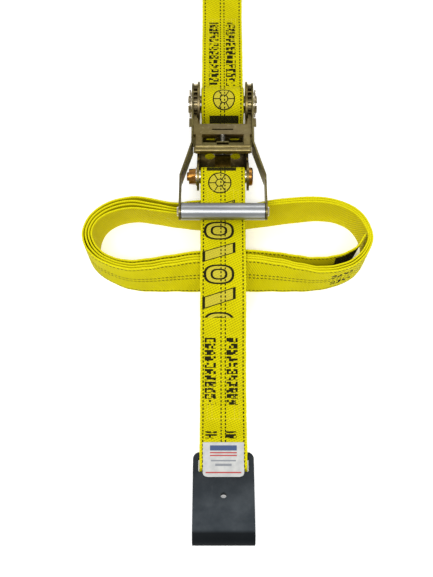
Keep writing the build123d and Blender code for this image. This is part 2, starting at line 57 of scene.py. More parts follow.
webbing = {
    "width": 50.0 * mm,
    "thick": 2.2 * mm,
    "step": 2.5 * mm,  # length of one row of faces
    "columns": 20,
    "backShift": 0.1,  # the back's map lies this far along u, so that a finish can tell the sides
}


def middle(node):
    low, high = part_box(node)
    return (low + high) / 2


rollCentre = middle("wound_webbing")
sleeveCentre = middle("anchor_sleeve")
strapX = rollCentre.x


class Sock:  # a number socket that can be used in sums
    def __init__(self, finish, out):
        self.finish = finish
        self.out = out

    def __add__(self, other):
        return self.finish.math("ADD", self, other)

    def __radd__(self, other):
        return self.finish.math("ADD", other, self)

    def __sub__(self, other):
        return self.finish.math("SUBTRACT", self, other)

    def __rsub__(self, other):
        return self.finish.math("SUBTRACT", other, self)

    def __mul__(self, other):
        return self.finish.math("MULTIPLY", self, other)

    def __rmul__(self, other):
        return self.finish.math("MULTIPLY", other, self)

    def __truediv__(self, other):
        return self.finish.math("DIVIDE", self, other)

    def __lt__(self, other):
        return self.finish.math("LESS_THAN", self, other)

    def __gt__(self, other):
        return self.finish.math("GREATER_THAN", self, other)

    def __pow__(self, other):
        return self.finish.math("POWER", self, other)

    def __abs__(self):
        return self.finish.math("ABSOLUTE", self)

    def floor(self):
        return self.finish.math("FLOOR", self)

    def part(self):
        return self.finish.math("FRACT", self)

    def sine(self):
        return self.finish.math("SINE", self)

    def atLeast(self, other):
        return self.finish.math("MAXIMUM", self, other)

    def within01(self):
        return self.finish.pick("ShaderNodeClamp", {}, {"Value": self}, 0)

    def within(self, low, high):
        return (self > low) * (self < high)

    def near(self, place, half):
        return abs(self - place) < half

    def spread(self, low, high, newLow, newHigh):
        settings = {"interpolation_type": "SMOOTHSTEP"}
        values = {"Value": self, 1: low, 2: high, 3: newLow, 4: newHigh}
        return self.finish.pick("ShaderNodeMapRange", settings, values, "Result")


class Finish:
    def __init__(self, name, **constants):
        self.material = bpy.data.materials.new(name)
        self.material.use_nodes = True
        self.tree = self.material.node_tree
        self.tree.nodes.clear()
        self.shader = self.node("ShaderNodeBsdfPrincipled", {}, constants)
        surface = {"Surface": self.shader.outputs["BSDF"]}
        self.node("ShaderNodeOutputMaterial", {}, surface)

    def node(self, kind, settings, values):
        made = self.tree.nodes.new(kind)
        for key, value in settings.items():
            if key == "stops":
                self.setStops(made.color_ramp, value)
            else:
                setattr(made, key, value)
        for key, value in values.items():
            self.feed(made.inputs[key], value)
        return made

    def setStops(self, ramp, stops):
        while len(ramp.elements) < len(stops):
            ramp.elements.new(0.5)
        for element, (place, colour) in zip(ramp.elements, stops):
            element.position = place
            element.color = (*colour, 1)

    def feed(self, socket, value):
        if isinstance(value, Sock):
            value = value.out
        if isinstance(value, bpy.types.NodeSocket):
            self.tree.links.new(value, socket)
        elif hasattr(value, "__len__") and len(value) == 3 and socket.type == "RGBA":
            socket.default_value = (*value, 1)
        else:
            socket.default_value = value

    def pick(self, kind, settings, values, out):
        return Sock(self, self.node(kind, settings, values).outputs[out])

    def math(self, operation, *values):
        return self.pick("ShaderNodeMath", {"operation": operation}, dict(enumerate(values)), 0)

    def mix(self, factor, first, second):
        values = {0: factor, 6: first, 7: second}
        return self.node("ShaderNodeMix", {"data_type": "RGBA"}, values).outputs[2]

    def place(self, scale=(1, 1, 1)):
        coords = self.node("ShaderNodeTexCoord", {}, {}).outputs["Object"]
        values = {"Vector": coords, "Scale": scale}
        return self.node("ShaderNodeMapping", {}, values).outputs["Vector"]

    def noise(self, where, scale, detail=3.0, rough=0.55):
        values = {"Vector": where, "Scale": scale, "Detail": detail, "Roughness": rough}
        return self.pick("ShaderNodeTexNoise", {}, values, "Fac")

    def combine(self, x, y, z=0.0):
        return self.node("ShaderNodeCombineXYZ", {}, {0: x, 1: y, 2: z}).outputs[0]

    def mapped(self):  # the piece's own map, across and along, in millimetres
        uv = self.node("ShaderNodeUVMap", {"uv_map": "UVMap"}, {}).outputs["UV"]
        axes = self.node("ShaderNodeSeparateXYZ", {}, {"Vector": uv})
        return Sock(self, axes.outputs[0]) / mm, Sock(self, axes.outputs[1]) / mm

    def bump(self, height, distance, strength=1.0, under=None):
        values = {"Height": height, "Distance": distance, "Strength": strength}
        if under is not None:
            values["Normal"] = under
        return self.node("ShaderNodeBump", {}, values).outputs["Normal"]

    def set(self, **values):
        names = {"colour": "Base Color", "rough": "Roughness", "normal": "Normal"}
        for key, value in values.items():
            self.feed(self.shader.inputs[names[key]], value)
        return self.material


webbingLook = {
    "yellow": (0.765, 0.70, 0.001),
    "deep": (0.26, 0.215, 0.0),
    "edge": (0.78, 0.72, 0.01),
    # painted light: the back face's colour, brighter and yellower than the front
    "inner": (0.88, 0.74, 0.0),
    "ink": (0.006, 0.006, 0.004),
    "pale": (0.46, 0.38, 0.06),
    "twill": 2.6,
    "tracers": (3.4, 22.7, 27.3, 46.6),
    "tracerHalf": 0.70,
    "tracerPitch": 4.4,
}


def wovenColumns(f, u, v, mark):  # two columns of plain woven blocks
    column = u.within(*mark["left"]).atLeast(u.within(*mark["right"]))
    cell = f.combine((u / 2.4).floor(), (v / 2.3).floor())
    flat = {"noise_dimensions": "2D"}
    chance = f.pick("ShaderNodeTexWhiteNoise", flat, {"Vector": cell}, "Value")
    return column * (chance > 0.36) * ((v / 6.9).part() < 0.80)


def wovenOutlines(f, u, v):  # large outlined shapes, a ring and a slanted bar in turn
    cell = v / 26.0
    along = (cell.part() - 0.5) * 26.0
    across = u - 20.5
    ring = ((abs(along) / 11.0) ** 2.6 + (abs(across) / 16.5) ** 2.6) ** (1 / 2.6)
    bar = (abs(along + across * 0.32) / 6.5).atLeast(abs(across) / 18.0)
    odd = (cell / 2).part() > 0.5
    size = ring * odd + bar * (1 - odd)
    line = abs(size - 0.92) < 0.085
    core = (abs(size - 0.48) < 0.075) * odd
    return line.atLeast(core), (size < 0.93)


def wovenWheel(f, u, v, centre, middle):  # a round mark with six spokes
    along = v - centre
    across = u - middle
    out = (along * along + across * across) ** 0.5
    angle = f.math("ARCTAN2", along, across)
    spoke = (abs((angle * 3.0).sine()) * out < 1.7) * out.within(4.5, 12.5)
    rims = out.near(12.5, 0.7).atLeast(out.near(4.5, 0.6))
    return rims.atLeast(spoke), (out < 12.5)


def webbingFinish(name, marks):
    look = webbingLook
    f = Finish(name, **{"Specular IOR Level": 0.04})
    u, v = f.mapped()
    back = u > webbing["backShift"] / mm - 10
    u = u - back * (webbing["backShift"] / mm)
    front = 1 - back
    turn = 2 * pi / look["twill"]
    weave = ((u + v * 0.62) * turn).sine() * ((u - v * 0.62) * turn * 0.5).sine()
    ribs = ((u - v * 1.3) * (turn * 1.6)).sine()
    relief = weave * 0.65 + ribs * 0.35
    drift = f.noise(f.combine(u / 30, v / 30), 1.0, 4.0)
    grain = f.noise(f.combine(u * 1.9, v * 0.7), 1.0, 2.0)
    edge = abs(u - 25.0).spread(23.0, 24.2, 0.0, 1.0)
    shade = relief * (back * 0.45 + 0.75) + 0.42 + grain * 0.3
    colour = f.mix(shade.within01(), look["deep"], look["yellow"])
    colour = f.mix(drift.spread(0.35, 0.75, 0.0, 0.22), colour, look["deep"])
    # painted light: the back face is mixed towards a brighter yellow
    colour = f.mix(back * 0.25, colour, look["inner"])
    colour = f.mix(edge * 0.55, colour, look["edge"])
    dash = (v / look["tracerPitch"]).part() < 0.56
    ink = u.near(look["tracers"][0], look["tracerHalf"])
    for place in look["tracers"][1:]:
        ink = ink.atLeast(u.near(place, look["tracerHalf"]))
    ink = ink * dash * front
    for mark in marks:
        side = back if mark.get("back") else front
        there = v.within(mark["from"], mark["to"]) * side
        if mark["kind"] == "columns":
            shape = wovenColumns(f, u, v, mark)
        elif mark["kind"] == "band":
            shape = u.within(*mark["across"]) * (weave > -0.93)
        elif mark["kind"] == "wheel":
            shape, core = wovenWheel(f, u, v, (mark["from"] + mark["to"]) / 2, mark["middle"])
            colour = f.mix(core * there * 0.5, colour, look["pale"])
        else:
            shape, core = wovenOutlines(f, u, v - mark["from"])
            colour = f.mix(core * there * 0.5, colour, look["pale"])
        ink = ink.atLeast(shape * there)
    colour = f.mix(ink * (grain * 0.04 + 0.96), colour, look["ink"])
    normal = f.bump(relief, 0.00022, 0.9)
    normal = f.bump(grain, 0.00010, 0.5, normal)
    return f.set(colour=colour, rough=drift * 0.12 + 0.62, normal=normal)


def zincFinish(name, base, brown, pale, rough):
    f = Finish(name, Metallic=1.0)
    where = f.place()
    cloud = f.noise(where, 38.0, 4.0)
    fine = f.noise(where, 260.0, 3.0)
    drawn = f.noise(f.place((1, 14, 14)), 120.0, 2.0)
    colour = f.mix(cloud.spread(0.38, 0.68, 0.0, 1.0), base, brown)
    colour = f.mix(fine.spread(0.52, 0.78, 0.0, 0.55), colour, pale)
    tint = f.noise(where, 17.0, 2.0)
    colour = f.mix(tint.spread(0.56, 0.72, 0.0, 0.25), colour, (0.20, 0.165, 0.13))
    roughness = rough + (cloud - 0.5) * 0.18 + (drawn - 0.5) * 0.22
    normal = f.bump(fine, 0.00012, 0.35)
    normal = f.bump(drawn, 0.00005, 0.3, normal)
    return f.set(colour=colour, rough=roughness, normal=normal)


def aluminiumFinish():
    f = Finish("gripAluminium", Metallic=1.0)
    lines = f.noise(f.place((0.35, 30, 30)), 90.0, 3.0)
    cloud = f.noise(f.place(), 24.0, 3.0)
    colour = f.mix(cloud.spread(0.3, 0.7, 0.0, 1.0), (0.33, 0.34, 0.34), (0.26, 0.27, 0.28))
    normal = f.bump(lines, 0.00003, 0.35)
    return f.set(colour=colour, rough=lines * 0.06 + 0.30, normal=normal)


def hookFinish():
    f = Finish("hookCoating", **{"Specular IOR Level": 0.07})
    where = f.place()
    cloud = f.noise(where, 22.0, 5.0, 0.6)
    fine = f.noise(where, 420.0, 2.0)
    rub = f.noise(f.place((1, 0.25, 1)), 95.0, 4.0)
    colour = f.mix(cloud.spread(0.3, 0.75, 0.0, 1.0), (0.024, 0.030, 0.036), (0.062, 0.071, 0.079))
    colour = f.mix(rub.spread(0.62, 0.78, 0.0, 0.35), colour, (0.075, 0.083, 0.092))
    axes = f.node("ShaderNodeSeparateXYZ", {}, {"Vector": where})
    along = abs(Sock(f, axes.outputs[1]))
    # painted shade: the bend is painted near black, and a fading painted shade darkens the end by
    # the bar
    bend = along.spread(0.3875, 0.3925, 0.0, 0.92)
    top = along.spread(0.315, 0.375, 0.55, 0.0)
    colour = f.mix(bend.atLeast(top), colour, (0.002, 0.003, 0.004))
    roughness = cloud * 0.25 + 0.34 + (fine - 0.5) * 0.10 + bend * 0.25
    normal = f.bump(fine, 0.00006, 0.4)
    return f.set(colour=colour, rough=roughness, normal=normal)


def plasticFinish(name, colour, rough):
    f = Finish(name)
    grain = f.noise(f.place(), 600.0, 3.0)
    cloud = f.noise(f.place(), 60.0, 2.0)
    shade = tuple(channel * 1.5 for channel in colour)
    normal = f.bump(grain, 0.00005, 0.4)
    return f.set(colour=f.mix(cloud, colour, shade), rough=grain * 0.1 + rough, normal=normal)


def labelFinish():
    f = Finish("labelCloth", **{"Sheen Weight": 0.2})
    u, v = f.mapped()
    cloth = ((u * 9.0).sine() * (v * 9.0).sine()) * 0.5 + 0.5
    drift = f.noise(f.combine(u / 8, v / 8), 1.0, 3.0)
    colour = f.mix(drift.spread(0.3, 0.7, 0.0, 1.0), (0.50, 0.50, 0.48), (0.40, 0.405, 0.40))
    inside = u.within(7.5, 35.5)
    blue = inside * v.within(3.4, 9.0)
    red = inside * (v.within(10.6, 12.0).atLeast(v.within(13.6, 15.0)))
    foot = u.within(3.0, 40.0) * v.within(32.0, 33.6)
    greyLong = u.within(8.5, 34.5) * v.within(19.0, 20.6)
    greyShort = u.within(13.0, 30.0) * v.within(23.0, 25.6)
    colour = f.mix(blue, colour, (0.03, 0.06, 0.16))
    colour = f.mix(red.atLeast(foot), colour, (0.38, 0.035, 0.03))
    colour = f.mix(greyLong.atLeast(greyShort), colour, (0.20, 0.21, 0.23))
    return f.set(colour=colour, rough=drift * 0.1 + 0.42, normal=f.bump(cloth, 0.00006, 0.4))


def threadFinish():
    f = Finish("sewingThread")
    grain = f.noise(f.place((1, 1, 1)), 1500.0, 2.0)
    colour = f.mix(grain.spread(0.3, 0.7, 0.0, 1.0), (0.62, 0.50, 0.01), (0.86, 0.74, 0.05))
    return f.set(colour=colour, rough=grain * 0.1 + 0.55, normal=f.bump(grain, 0.00005, 0.5))


olive, brown, straw = (0.155, 0.120, 0.040), (0.095, 0.068, 0.022), (0.34, 0.28, 0.13)
zincLook = {  # slot: name, plain colour, brown clouds, pale specks, roughness
    "zinc_frame": (
        "zincFrame", olive, brown, straw, 0.36,
    ),
    "zinc_handle": (
        "zincHandle", (0.130, 0.108, 0.038), (0.072, 0.058, 0.020), (0.27, 0.24, 0.115), 0.36,
    ),
    "zinc_pawl": (
        "zincPawl", (0.205, 0.165, 0.065), (0.135, 0.100, 0.036), (0.38, 0.32, 0.16), 0.34,
    ),
    "zinc_sprocket": (
        "zincSprocket", (0.165, 0.135, 0.058), brown, (0.46, 0.40, 0.24), 0.32,
    ),
    "zinc_small": (
        "zincSmall", (0.55, 0.50, 0.40), (0.42, 0.36, 0.24), (0.70, 0.68, 0.60), 0.26,
    ),
    "zinc_bolt": (
        "zincBolt", (0.34, 0.165, 0.030), (0.17, 0.060, 0.016), (0.55, 0.42, 0.16), 0.30,
    ),
    "mandrel_steel": (
        "mandrelSteel", (0.22, 0.18, 0.10), (0.14, 0.11, 0.05), (0.38, 0.34, 0.24), 0.34,
    ),
    "spring_steel": (
        "springSteel", (0.30, 0.28, 0.24), (0.18, 0.17, 0.14), (0.5, 0.48, 0.44), 0.28,
    ),
}
finishes = {
    **{slot: zincFinish(*look) for slot, look in zincLook.items()},
    "grip_aluminium": aluminiumFinish(),
    "bush_plastic": plasticFinish("bushNylon", (0.012, 0.012, 0.013), 0.45),
    "hook_black": hookFinish(),
}
labelMaterial = labelFinish()
threadMaterial = threadFinish()

for entry in frame["record"]["subparts"]:
    if entry["material_slot"] in finishes:
        shown = nodes[entry["node"]]
        shown.data.materials.clear()
        shown.data.materials.append(finishes[entry["material_slot"]])
print("finishes made:", len(finishes))


# From (point, across) controls to even rows of (centre, across, normal, run).
def curve(controls, step):
    points = [point for point, _ in controls]
    sides = [side for _, side in controls]
    gaps = [(b - a).length for a, b in zip(points, points[1:])]
    last = len(points) - 1
    slopes = []
    for i in range(last + 1):
        before = (points[i] - points[i - 1]) / gaps[i - 1] if i else None
        after = (points[i + 1] - points[i]) / gaps[i] if i < last else None
        if before is None or after is None:
            slopes.append(after if before is None else before)
        else:
            slopes.append((before * gaps[i] + after * gaps[i - 1]) / (gaps[i] + gaps[i - 1]))
    fine = []
    for i, gap in enumerate(gaps):
        pieces = max(1, ceil(gap / (1.2 * mm)))
        for k in range(pieces):
            t = k / pieces
            fade, into = 2 * t**3 - 3 * t**2 + 1, (t**3 - 2 * t**2 + t) * gap
            rise, away = 3 * t**2 - 2 * t**3, (t**3 - t**2) * gap
            point = points[i] * fade + slopes[i] * into
            point = point + points[i + 1] * rise + slopes[i + 1] * away
            fine.append((point, sides[i].lerp(sides[i + 1], t * t * (3 - 2 * t))))
    fine.append((points[-1], sides[-1]))
    return rows(fine, step)


def rows(fine, step):
    runs = [0.0]
    for a, b in zip(fine, fine[1:]):
        runs.append(runs[-1] + (b[0] - a[0]).length)
    count = max(2, round(runs[-1] / step))
    even, i = [], 0
    for k in range(count + 1):
        want = runs[-1] * k / count
        while i < len(fine) - 2 and runs[i + 1] < want:
            i += 1
        share = min(max((want - runs[i]) / max(runs[i + 1] - runs[i], 1e-9), 0), 1)
        (here, side), (ahead, sideAhead) = fine[i], fine[i + 1]
        even.append((here.lerp(ahead, share), side.lerp(sideAhead, share), want))
    out = []
    for k, (centre, across, run) in enumerate(even):
        heading = (even[min(k + 1, count)][0] - even[max(k - 1, 0)][0]).normalized()
        across = (across - heading * across.dot(heading)).normalized()
        out.append((centre, across, heading.cross(across), run))
    return out


# Where the strip passes a place along the strap, in millimetres of run.
def alongAt(stations, y, after=0.0):
    for a, b in zip(stations, stations[1:]):
        if a[3] >= after and (a[0].y - y) * (b[0].y - y) <= 0 and a[0].y != b[0].y:
            return (a[3] + (b[3] - a[3]) * (y - a[0].y) / (b[0].y - a[0].y)) / mm
    raise ValueError("the strip doesn't pass there")


def strip(name, stations, width, thick, material, columns=webbing["columns"]):
    half = width / 2
    profile = []
    for k in range(columns + 1):
        x = sin((k / columns - 0.5) * pi * 0.94) / sin(pi * 0.47) * half
        rim = min(1.0, (half - abs(x)) / (0.9 * thick))  # the selvedge is rounded over
        profile.append((x, thick / 2 * sqrt(max(0.0, 1 - (1 - rim) ** 2))))
    loop = profile + [(x, -h) for x, h in reversed(profile[1:-1])]
    n, last = len(loop), len(stations) - 1
    verts, faces, maps = [], [], []
    for centre, across, normal, run in stations:
        wave = 0.12 * mm * sin(run * 900) + 0.1 * mm * sin(run * 233)
        for x, h in loop:
            verts.append(centre + across * (x + wave * (x / half) ** 7) + normal * h)
    for i in range(last):
        v0, v1 = stations[i][3], stations[i + 1][3]
        for k in range(n):
            j = (k + 1) % n
            shift = webbing["backShift"] if k >= columns else 0.0
            a, b = loop[k][0] + half + shift, loop[j][0] + half + shift
            faces.append((i * n + k, (i + 1) * n + k, (i + 1) * n + j, i * n + j))
            maps += [(a, v0), (a, v1), (b, v1), (b, v0)]
    for i, order in ((0, 1), (last, -1)):
        ring = list(range(n))[::order]
        faces.append(tuple(i * n + k for k in ring))
        maps += [(loop[k][0] + half, stations[i][3]) for k in ring]
    mesh = bpy.data.meshes.new(name)
    mesh.from_pydata(verts, [], faces)
    layer = mesh.uv_layers.new(name="UVMap")
    for corner, uv in zip(layer.data, maps):
        corner.uv = uv
    mesh.polygons.foreach_set("use_smooth", [True] * len(mesh.polygons))
    mesh.materials.append(material)
    mesh.update()
    piece = bpy.data.objects.new(name, mesh)
    bpy.context.scene.collection.objects.link(piece)
    return piece


right = Vector((1, 0, 0))


# An arc in the plane of the strap's length and height.
def turn(centre, r, start, angle, side=right):
    count = max(3, ceil(abs(angle) / 11))
    turns = [radians(start + angle * k / count) for k in range(count + 1)]
    ring = [Vector((strapX, centre.y + r * cos(t), centre.z + r * sin(t))) for t in turns]
    return [(point, side) for point in ring]


def line(*pairs, side=right):  # (along from the roll's axis, up) in millimetres
    return [(Vector((strapX, rollCentre.y + y * mm, z * mm)), side) for y, z in pairs]


sewnEnd = {
    "rise": 50.0,
    "knee": 36.0,
    "top": 14.0,
    "bend": 5.6,
    "reach": 10.5,
    "flap": 82.0,
    "low": 1.6,
    "run": 4.5,
}


def hookBar(hook):  # the bar's line: the loop's bend is about it
    pivot = frame["record"]["behaviour"]["joints"]
    for joint in pivot:
        if joint["child"] == hook:
            return Vector(joint["pos_m"])
    raise ValueError(hook)


def sewnLoop(hook, sign, side):  # rises to the bar, goes round it and back under itself
    e, bar = sewnEnd, hookBar(hook)
    up = bar.z / mm

    def at(y, z):
        return Vector((strapX, bar.y + sign * y * mm, z * mm)), side

    out = [at(-e["rise"], e["run"]), at(-e["knee"], e["run"] + 0.7), at(-e["top"], up + e["bend"])]
    out += [at(-2, up + e["bend"])]
    for k in range(17):
        t = radians(90 - 180 * k / 16)
        out.append(at(e["reach"] + e["bend"] * cos(t), up + e["bend"] * sin(t)))
    return out + [at(e["reach"] - s, e["low"]) for s in (20, 45, e["flap"])]


mainTurns = {"r": 16.6, "start": -30, "turn": 300}
tailTurns = {"r": 19.35, "start": -25, "turn": 205, "drop": 12.4, "bend": 11.0, "flat": 1.4}

mainControls = turn(rollCentre, mainTurns["r"] * mm, mainTurns["start"], mainTurns["turn"], -right)
mainControls += line((30, 13.5), (60, 13.7), (110, 10.5), side=-right)
mainControls += sewnLoop("upper_hook", 1, -right)
mainStations = curve(mainControls, webbing["step"])
mainOff = 100.0 * mm  # past the turns on the roll
columnsAcross = {"left": (8.5, 20.5), "right": (29.5, 41.5)}
mainMarks = [
    {"kind": "columns", "from": alongAt(mainStations, rollCentre.y + 38 * mm, mainOff),
     "to": alongAt(mainStations, rollCentre.y + 142 * mm, mainOff), **columnsAcross},
]
wide, thick = webbing["width"], webbing["thick"]
mainFinish = webbingFinish("webbingMain", mainMarks)
mainStrap = strip("mainStrap", mainStations, wide, thick, mainFinish)

shortControls = line((-166, 51.1), (-148, 51.8), (-132, 51.2), (-120, 42.5))
shortControls += turn(sleeveCentre, 9.5 * mm, -90, 180)
shortControls += line((-130, 57.0), (-148, 55.5), (-172, 54.3), (-200, 53.0))
shortControls += line((-236, 51.4), (-270, 40.0), (-312, 18.0), (-348, 4.5))
shortControls += sewnLoop("lower_hook", -1, right)
shortStations = curve(shortControls, webbing["step"])
shortOff = 72.0 * mm  # past the turn round the bolt


def shortAt(y):
    return alongAt(shortStations, y * mm, shortOff)


boltTop = shortAt(7.5)
shortMarks = [
    {"kind": "band", "from": boltTop - 9, "to": boltTop - 2, "across": (6.7, 40.0)},
    {"kind": "wheel", "from": shortAt(8.2), "to": shortAt(-20.0), "middle": 21.5},
    {"kind": "outlines", "from": shortAt(-26.0), "to": shortAt(-161.0)},
    {"kind": "columns", "from": shortAt(-180.0), "to": shortAt(-250.0),
     "left": (5.0, 17.2), "right": (28.5, 40.7)},
    {"kind": "columns", "from": shortAt(-281.0), "to": shortAt(-290.0),
     "left": (6.0, 18.2), "right": (27.0, 39.2)},
]
shortFinish = webbingFinish("webbingShort", shortMarks)
shortStrap = strip("shortStrap", shortStations, wide, thick, shortFinish)
print("straps:", len(mainStations), "and", len(shortStations), "rows")

hank = {
    "turns": 3.69,
    "first": 3.0,  # outline point where the tail joins
    "start": 0.07,
    "end": 0.95,
    "height": 49.5,
    "lift": 0.65,
    "drift": 0.012,
    "steps": 59,
    "bunch": 0.42,
}
# Each outline goes round the hank from its left end by the far side,
# across and along in millimetres from the roll.
outlines = {
    "outerFloor": (
        (-154, -182), (-141, -150), (-104, -132), (-52, -142),
        (0, -148), (56, -140), (114, -134), (153, -150),
        (164, -188), (146, -219), (108, -233), (61, -235),
        (2, -235), (-60, -235), (-104, -232), (-142, -211),
    ),
    "outerTop": (
        (-157, -184), (-143, -154), (-106, -137), (-52, -148),
        (0, -152), (56, -140), (114, -136), (154, -154),
        (167, -191), (147, -224), (108, -234), (61, -223),
        (2, -213), (-60, -224), (-104, -230), (-144, -213),
    ),
    "innerFloor": (
        (-138, -180), (-128, -156), (-100, -147), (-52, -154),
        (0, -158), (54, -152), (112, -146), (140, -155),
        (152, -178), (134, -203), (98, -217), (61, -221),
        (2, -222), (-60, -220), (-102, -218), (-128, -204),
    ),
    "innerTop": (
        (-144, -184), (-133, -165), (-103, -156), (-52, -162),
        (0, -160), (56, -150), (110, -148), (142, -160),
        (156, -188), (134, -208), (98, -213), (61, -205),
        (2, -198), (-60, -210), (-103, -216), (-131, -206),
    ),
}


def onOutline(name, place):  # smooth periodic curve through the outline's points
    points = outlines[name]
    i, t = floor(place), place - floor(place)
    a, b, c, d = (Vector(points[(i + k) % len(points)]) for k in (-1, 0, 1, 2))
    square, cube = a * 2 - b * 5 + c * 4 - d, b * 3 - a - c * 3 + d
    bend = b * 2 + (c - a) * t + square * t**2 + cube * t**3
    return bend / 2 * mm


def hankControls():
    h, out = hank, []
    steps = round(h["turns"] * 16 * 2)
    for k in range(1, steps + 1):
        share = k / steps
        place = h["first"] - k / 2
        depth = h["start"] + (h["end"] - h["start"]) * share
        depth = depth + h["drift"] * sin(k * 0.83) * min(1, k / 8)
        # the layers bunch outwards near the free end
        if share < 1 - 9 / h["steps"]:
            ahead = (place - 9.6 + 8) % 16 - 8
            depth *= 1 - h["bunch"] * exp(-(ahead / 2.6) ** 2)
        low = onOutline("outerFloor", place).lerp(onOutline("innerFloor", place), depth)
        high = onOutline("outerTop", place).lerp(onOutline("innerTop", place), depth)
        lean = high - low
        across = Vector((lean.x, lean.y, h["height"] * mm)).normalized()
        lift = (h["lift"] + 0.3 * sin(k * 0.41)) * mm + webbing["thick"] * 0.3 * abs(across.y)
        foot = Vector((strapX + low.x, rollCentre.y + low.y, lift))
        out.append((foot + across * webbing["width"] / 2, across))
    return out


twist = (  # along x, along y, up, heading from -Y towards -X, how far the outer edge has stood up
    (0.0, -74.5, 1.4, 0, 0),
    (-1.0, -92.0, 7.0, 8, 12),
    (-5.0, -112.0, 18.4, 28, 42),
    (-17.0, -130.0, 24.2, 60, 68),
    (-42.0, -141.9, 25.5, 84, 82.5),
)


def twistControls():
    out = []
    for x, y, z, heading, stand in twist:
        t, b = radians(heading), radians(stand)
        across = Vector((cos(t) * cos(b), -sin(t) * cos(b), sin(b)))
        out.append((Vector((strapX + x * mm, rollCentre.y + y * mm, z * mm)), across))
    return out


t = tailTurns
spareControls = turn(rollCentre, t["r"] * mm, t["start"], t["turn"])
spareControls += line((-t["r"], 24.0), (-t["r"], 18.0))
bendAt = rollCentre.y - (t["r"] + t["bend"]) * mm
bendCentre = Vector((strapX, bendAt, (t["flat"] + t["bend"]) * mm))
spareControls += turn(bendCentre, t["bend"] * mm, 0, -90)
spareControls += line((-45, t["flat"]), (-60, t["flat"]))
spareControls += twistControls() + hankControls()[1:]
spareStations = curve(spareControls, webbing["step"])
spareLength = spareStations[-1][3]


def rollAt(angle):  # run of the tail's outer turn at an angle about the roll
    return radians(angle - tailTurns["start"]) * tailTurns["r"]


endRun = spareLength / mm
lobeX, lobeY = strapX + 116 * mm, rollCentre.y - 190 * mm  # near side of the right lobe
lobeRun = next(run for c, a, n, run in spareStations if c.x > lobeX and c.y < lobeY) / mm
spareMarks = [
    {"kind": "wheel", "from": rollAt(105) - 14, "to": rollAt(105) + 14, "middle": 26.5},
    {"kind": "band", "from": rollAt(164), "to": rollAt(180) + 10, "across": (9.5, 44.0)},
    {"kind": "columns", "from": lobeRun, "to": lobeRun + 26,
     "left": (12.0, 20.5), "right": (29.0, 37.5)},
    {"kind": "band", "from": endRun - 44, "to": endRun - 9, "across": (9.0, 45.0)},
]
spareFinish = webbingFinish("webbingSpare", spareMarks)
spareWebbing = strip("spareWebbing", spareStations, wide, thick, spareFinish)
print("spare webbing:", round(spareLength, 3), "m in", len(spareStations), "rows")

wound = {"outer": 14.05, "inner": 12.0, "turn": 400, "slot": 43, "through": 11.0, "thick": 1.9}


def woundControls():
    w, out = wound, []
    count = 42
    for k in range(count + 1):
        a = radians(w["slot"] + w["turn"] * (1 - k / count))
        r = (w["outer"] + (w["inner"] - w["outer"]) * k / count) * mm
        at = Vector((strapX, rollCentre.y + r * cos(a), rollCentre.z + r * sin(a)))
        out.append((at, right))
    a = radians(w["slot"])
    for r in (9.0, 4.0, 0.0, -w["through"]):
        y, z = rollCentre.y + r * mm * cos(a), rollCentre.z + r * mm * sin(a)
        out.append((Vector((strapX, y, z)), right))
    return out


woundStations = curve(woundControls(), webbing["step"])
woundFinish = webbingFinish("webbingWound", [])
woundWebbing = strip("woundWebbing", woundStations, wide, wound["thick"] * mm, woundFinish)

label = {"width": 43.0 * mm, "thick": 0.42 * mm, "r": 7.24, "corner": 5.0 * mm}


def labelControls():
    bar, r = hookBar("lower_hook"), label["r"]
    flat = [(13.0, r), (8.0, r), (0.0, r), (-6.0, r), (-sewnEnd["reach"], r)]
    flat += [(-15.0, r + 0.25), (-19.5, r + 0.95), (-24.5, r + 1.9)]  # its end lies on the hook
    return [(Vector((strapX, bar.y + y * mm, bar.z + z * mm)), right) for y, z in flat]


labelStations = curve(labelControls(), 0.8 * mm)
hookLabel = strip("hookLabel", labelStations, label["width"], label["thick"], labelMaterial, 28)


def roundCorners(piece, stations, width, r):  # pull the two lower corners in
    total, half = stations[-1][3], width / 2
    rowLength = len(piece.data.vertices) // len(stations)
    for i, (centre, across, normal, run) in enumerate(stations):
        into = max(0.0, run - (total - r))
        most = half - r + sqrt(max(0.0, r * r - into * into))
        for vert in piece.data.vertices[i * rowLength:(i + 1) * rowLength]:
            x = (vert.co - centre).dot(across)
            if abs(x) > half - r:
                keep = half - r + (abs(x) - (half - r)) * (most - (half - r)) / r
                vert.co += across * ((keep - abs(x)) * (1 if x > 0 else -1))


roundCorners(hookLabel, labelStations, label["width"], label["corner"])

stitch = {
    "pitch": 2.6 * mm,
    "length": 2.1 * mm,
    "thread": 0.28 * mm,
    "lift": 0.1 * mm,
    "rows": (-17, -12, 12, 17),  # millimetres across the webbing
    "barSteps": 8,
}


